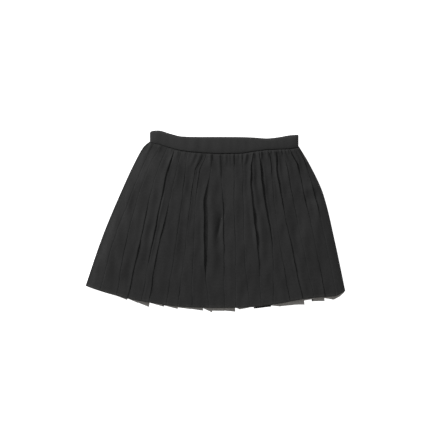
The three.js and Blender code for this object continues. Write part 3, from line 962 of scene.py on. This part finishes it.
def woven_cloth(name, light, dark, rubbed_and_lit, sheen):
    """Matt woven cloth between two near shades of one dye, and a third near its edge, where it is rubbed and
    painted lighter as a highlight.
    """
    material, tree, output = new_material(name)
    uv = add_node(tree, "ShaderNodeUVMap", {"uv_map": "cloth"})
    place = add_node(tree, "ShaderNodeTexCoord")
    dye = add_node(tree, "ShaderNodeTexNoise", None, {
        "Scale": 1 / DYE_PATCH, "Detail": 3.0, "Roughness": 0.55,
    }, {"Vector": place.outputs["Object"]})
    slub = add_node(tree, "ShaderNodeTexNoise", None, {
        "Scale": 1 / SLUB_SIZE, "Detail": 2.0, "Roughness": 0.6,
    }, {"Vector": uv.outputs["UV"]})
    blend = add_node(tree, "ShaderNodeMix", {"data_type": "FLOAT"}, {"Factor": 0.4}, {
        "A": dye.outputs["Fac"], "B": slub.outputs["Fac"],
    })
    ramp = add_node(tree, "ShaderNodeValToRGB", None, None, {"Fac": blend.outputs["Result"]})
    ramp.color_ramp.elements[0].position = 0.38
    ramp.color_ramp.elements[0].color = linear(dark)
    ramp.color_ramp.elements[1].position = 0.62
    ramp.color_ramp.elements[1].color = linear(light)
    # Close to the edge the colour is mixed towards a lighter one: partly rubbed wear, partly a painted
    # highlight.
    edge = add_node(tree, "ShaderNodeAttribute", {"attribute_name": "from_edge"})
    nearness = add_node(tree, "ShaderNodeMapRange", {"interpolation_type": "SMOOTHSTEP"}, {
        "From Min": 0.0, "From Max": WEAR_AND_HIGHLIGHT_WIDTH, "To Min": WEAR_AND_HIGHLIGHT_SHARE, "To Max": 0.0,
    }, {"Value": edge.outputs["Fac"]})
    wear_and_highlight = add_node(tree, "ShaderNodeMath", {"operation": "MULTIPLY"}, None, {
        0: nearness.outputs["Result"], 1: slub.outputs["Fac"],
    })
    colour = add_node(tree, "ShaderNodeMix", {"data_type": "RGBA"}, {MIX_SECOND: linear(rubbed_and_lit)}, {
        MIX_FACTOR: wear_and_highlight.outputs["Value"], MIX_FIRST: ramp.outputs["Color"],
    })
    weave = weave_height(tree, uv.outputs["UV"])
    bump = add_node(tree, "ShaderNodeBump", None, {"Strength": 0.5, "Distance": WEAVE_DEPTH}, {
        "Height": weave.outputs["Value"],
    })
    surface = add_node(tree, "ShaderNodeBsdfPrincipled", None, {
        "Roughness": 0.88, "Specular IOR Level": 0.25, "Sheen Weight": sheen, "Sheen Roughness": 0.5,
    }, {"Base Color": colour.outputs[MIX_RESULT], "Normal": bump.outputs["Normal"]})
    tree.links.new(surface.outputs["BSDF"], output.inputs["Surface"])
    return material


# The third colour of each cloth is for its edge, painted lighter partly as wear and partly as painted
# highlight.
charcoal_crepe = woven_cloth("charcoal_crepe", "#323232", "#2b2b2b", "#4f4e4d", 0.06)
# The wrong side's pale colour is partly its own and partly painted light, for the bright surface glowing
# through the thin cloth.
crepe_wrong_side_with_painted_glow = woven_cloth("crepe_wrong_side_with_painted_glow", "#a8a5a1", "#9c9995", "#b4b1ad", 0.05)
# A darker copy of the cloth, used as painted shadow on the back's hem.
hem_painted_shadow_crepe = woven_cloth("hem_painted_shadow_crepe", "#282828", "#222222", "#282828", 0.06)
waistband_crepe = woven_cloth("waistband_crepe", "#363636", "#303030", "#424242", 0.06)
print("materials:", charcoal_crepe.name, crepe_wrong_side_with_painted_glow.name, hem_painted_shadow_crepe.name, waistband_crepe.name)

# %% [markdown]
# Both panels are now made in the same way. The front shows the right side of its cloth. The back lies face
# down, so its wrong side is up and makes the pale slivers below the front hem, their colour partly painted
# light. At two short stretches the back's hem is painted dark as painted shadow, so the faces there get a
# material of their own.

# %% The two panels
# Stretches of the back's hem that are painted dark as painted shadow, and how far up from the hem.
PAINTED_SHADOW_STRETCHES = ((91, 127), (-121, -113))
PAINTED_SHADOW_HEIGHT = 3
PAINTED_SHADOW_SLOT = 2

front_grid = panel_points(front_panel)
front = make_sheet("front_cloth", *front_grid, [charcoal_crepe, crepe_wrong_side_with_painted_glow], -1)
thicken(front, CLOTH_WALL, 1)

back_grid = panel_points(back_panel)
back = make_sheet("back_cloth", *back_grid, [crepe_wrong_side_with_painted_glow, charcoal_crepe, hem_painted_shadow_crepe], -1)
thicken(back, CLOTH_WALL, 1)
# Faces in those stretches get the painted shadow.
for face in back.data.polygons:
    middle = face.center / MM
    hem = read_line(hem_line, "y", middle.x)
    if middle.y < hem + PAINTED_SHADOW_HEIGHT and any(low < middle.x < high for low, high in PAINTED_SHADOW_STRETCHES):
        face.material_index = PAINTED_SHADOW_SLOT

for name, grid in (("front", front_grid), ("back", back_grid)):
    widths = [round(float(grid[3][row, -1])) for row in (0, len(grid[3]) // 2, -1)]
    print(name, "cloth across at the waist, middle and hem, mm:", widths, "points:", grid[0].size)

# %% [markdown]
# The waistband is one doubled strip of the same cloth with a stiffener inside, sewn into a ring and pressed
# flat. Its path runs along the front, round the folded end at the right, along the back and round the left
# end. The front is crowned between its edges, ripples a little, and leans back at the top, most at the
# right. The grid is welded where its two ends meet, thickened, and its long edges are rounded as folded
# cloth is.

# %% The waistband
BAND_WALL = 2.6
BAND_HEIGHT = 7.6
BAND_STEP = 4
BAND_END_STEPS = 8
BAND_ROWS = 9
BAND_FULLNESS = 0.6
BAND_RIPPLE = 1.3
BAND_RIPPLE_WIDTH = 14
BAND_RIPPLE_SEED = 3.1
BAND_EDGE = 1.1

band_crown = table("x crown lean", [
    (-150.7, 0.1, 0),
    (-138, 1.9, 0),
    (-122, 2.2, 0.1),
    (-90, 1.6, 0.3),
    (0, 1.7, 0.6),
    (60, 2.0, 0.8),
    (120, 1.9, 1.5),
    (150, 2.4, 2.2),
    (176, 2.6, 2.2),
    (186, 0.8, 0),
])


def band_path():
    """x, height and how much it is front, for each point round the flattened ring."""
    radius = (BAND_HEIGHT - BAND_WALL) / 2
    reach = radius + BAND_WALL / 2
    middle = BAND_HEIGHT / 2
    left = waist_line[0]["x"] + reach
    right = waist_line[-1]["x"] - reach
    steps = round((right - left) / BAND_STEP)
    run = [mix(left, right, i / steps) for i in range(steps + 1)]
    path = [(x, middle + radius, 1) for x in run]
    for step in range(1, BAND_END_STEPS):
        angle = math.pi * (0.5 - step / BAND_END_STEPS)
        path.append((right + radius * math.cos(angle), middle + radius * math.sin(angle), 0))
    path += [(x, middle - radius, 0) for x in reversed(run)]
    for step in range(1, BAND_END_STEPS):
        angle = math.pi * (0.5 + step / BAND_END_STEPS)
        path.append((left + radius * math.cos(angle), middle - radius * math.sin(angle), 0))
    return path + path[:1]


def band_points():
    """The ring's points in millimetres, rows running from its top edge down to the seam."""
    path = band_path()
    down = np.array([row / (BAND_ROWS - 1) for row in range(BAND_ROWS)])[:, None]
    x = np.array([[point[0] for point in path]] * BAND_ROWS)
    is_front = np.array([point[2] for point in path])[None, :]
    top = np.array([read_line(waist_line, "top", point[0]) for point in path])[None, :]
    seam = np.array([read_line(waist_line, "seam", point[0]) for point in path])[None, :]
    y = mix(top, seam, down)
    ripple_at = [Vector((point[0] / BAND_RIPPLE_WIDTH, BAND_RIPPLE_SEED, 0)) for point in path]
    ripple = np.array([noise.noise(place) for place in ripple_at])[None, :]
    swell = np.sin(np.pi * down) ** BAND_FULLNESS
    crown = np.array([read_line(band_crown, "crown", point[0]) for point in path])[None, :]
    lean = np.array([read_line(band_crown, "lean", point[0]) for point in path])[None, :]
    swollen = swell * (crown + BAND_RIPPLE * ripple) - lean * (1 - down)
    z = np.array([[point[1] for point in path]] * BAND_ROWS) + is_front * swollen
    return x, y, z, distance_along(x, z)


band_grid = band_points()
# The band's top row is painted lighter: partly wear, partly a painted highlight.
band = make_sheet("waistband_cloth", *band_grid, [waistband_crepe], 0)
ring = bmesh.new()
ring.from_mesh(band.data)
bmesh.ops.remove_doubles(ring, verts=ring.verts, dist=0.05 * MM)
ring.to_mesh(band.data)
ring.free()
thicken(band, BAND_WALL, 0)
edge = band.modifiers.new("folded_edges", "BEVEL")
edge.width = BAND_EDGE * MM
edge.segments = 3
edge.limit_method = "ANGLE"
edge.angle_limit = math.radians(60)
print("waistband points:", len(band.data.vertices))

# %% [markdown]
# Two rows of stitches show from outside: one closes the lower edge of the waistband, and one holds the hem,
# which is turned up inside. Each stitch is a slim spindle of thread that lies along the cloth, laid only
# where the face of the cloth is in the open. The thread is polyester in the cloth's own colour, a little
# smoother, so it shows as a fine ridge from near by and not at all from far off.

# %% Stitches
HEM_DEPTH = 15
BAND_STITCH_HEIGHT = 2.4
STITCH_PITCH = 3.0
STITCH_LENGTH = 2.3
THREAD_WIDTH = 0.45
THREAD_TWIST = 0.5 * MM
SORT_DIRECTION = (0.9, 2.3, 7.1)


def sewing_thread(name, light, dark):
    """Twisted sewing thread: fine slanting bands between two near shades."""
    material, tree, output = new_material(name)
    place = add_node(tree, "ShaderNodeTexCoord")
    twist = add_node(tree, "ShaderNodeTexWave", {"bands_direction": "DIAGONAL"}, {
        "Scale": wave_scale(THREAD_TWIST), "Distortion": 0.4,
    }, {"Vector": place.outputs["Object"]})
    ramp = add_node(tree, "ShaderNodeValToRGB", None, None, {"Fac": twist.outputs["Fac"]})
    ramp.color_ramp.elements[0].color = linear(dark)
    ramp.color_ramp.elements[1].color = linear(light)
    surface = add_node(tree, "ShaderNodeBsdfPrincipled", None, {
        "Roughness": 0.6, "Specular IOR Level": 0.35,
    }, {"Base Color": ramp.outputs["Color"]})
    tree.links.new(surface.outputs["BSDF"], output.inputs["Surface"])
    return material


def stitch_places(grid, in_the_open, height, surface):
    """The middle and direction of each stitch of a row, a given height above a piece's lower edge."""
    x, y, z, _ = grid
    line = []
    for column in range(x.shape[1]):
        level = y[-1, column] + height
        across, up = (float(np.interp(-level, -y[:, column], values[:, column])) for values in (x, z))
        line.append(Vector((across, float(level), up + surface)))
    places = []
    travelled = 0.0
    for column, (start, end) in enumerate(zip(line, line[1:])):
        step = end - start
        if step.x <= 0 or not (in_the_open[column] and in_the_open[column + 1]):
            continue
        next_stitch = math.ceil(travelled / STITCH_PITCH) * STITCH_PITCH
        while next_stitch < travelled + step.length:
            places.append((start + step * ((next_stitch - travelled) / step.length), step.normalized()))
            next_stitch += STITCH_PITCH
        travelled += step.length
    return places


def sew(name, places, material):
    """One piece with all the stitches of a row, each a copy of one sphere drawn out into a spindle."""
    size = Matrix.Diagonal((STITCH_LENGTH / 2 * MM, THREAD_WIDTH / 2 * MM, THREAD_WIDTH / 2 * MM, 1))
    ball = bmesh.new()
    bmesh.ops.create_uvsphere(ball, u_segments=8, v_segments=6, radius=1)
    # The operator leaves a sphere's parts in no fixed order. Sorted, they give the same mesh in every run.
    ball.verts.sort(key=lambda vertex: vertex.co.dot(SORT_DIRECTION))
    ball.faces.sort(key=lambda face: face.calc_center_median().dot(SORT_DIRECTION))
    row = bmesh.new()
    stitch = bpy.data.meshes.new("one_stitch")
    for middle, direction in places:
        aim = direction.to_track_quat("X", "Z").to_matrix().to_4x4()
        ball.to_mesh(stitch)
        stitch.transform(Matrix.Translation(middle * MM) @ aim @ size)
        row.from_mesh(stitch)
    ball.free()
    bpy.data.meshes.remove(stitch)
    for face in row.faces:
        face.smooth = True
    data = bpy.data.meshes.new(name)
    row.to_mesh(data)
    row.free()
    data.materials.append(material)
    piece = bpy.data.objects.new(name, data)
    scene.collection.objects.link(piece)
    return piece


charcoal_thread = sewing_thread("charcoal_polyester_thread", "#343434", "#282828")
open_cloth = [point[3] == 1 for point in cloth_path(front_panel, 1)]
open_band = [point[2] == 1 for point in band_path()]
hem_places = stitch_places(front_grid, open_cloth, HEM_DEPTH, CLOTH_WALL / 2)
band_places = stitch_places(band_grid, open_band, BAND_STITCH_HEIGHT, BAND_WALL / 2)
hem_stitches = sew("hem_stitches", hem_places, charcoal_thread)
band_stitches = sew("band_stitches", band_places, charcoal_thread)
print("stitches at the hem:", len(hem_places), "and on the waistband:", len(band_places))

# %% [markdown]
# Each finished piece rides on the skirt's one body and stands for its solid. The two panels and the band
# are sheets of cloth.

for piece, node, slot in ((front, "skirt_front", "skirt_cloth"), (back, "skirt_back", "skirt_cloth"),
                          (band, "waistband", "waistband_cloth")):
    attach(piece, "root")
    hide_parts(node)

for stitches, slot in ((hem_stitches, "skirt_cloth"), (band_stitches, "waistband_cloth")):
    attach(stitches, "root")

pieces = (front, back, band, hem_stitches, band_stitches)
print("pieces handed over:", ", ".join(piece.name for piece in pieces))
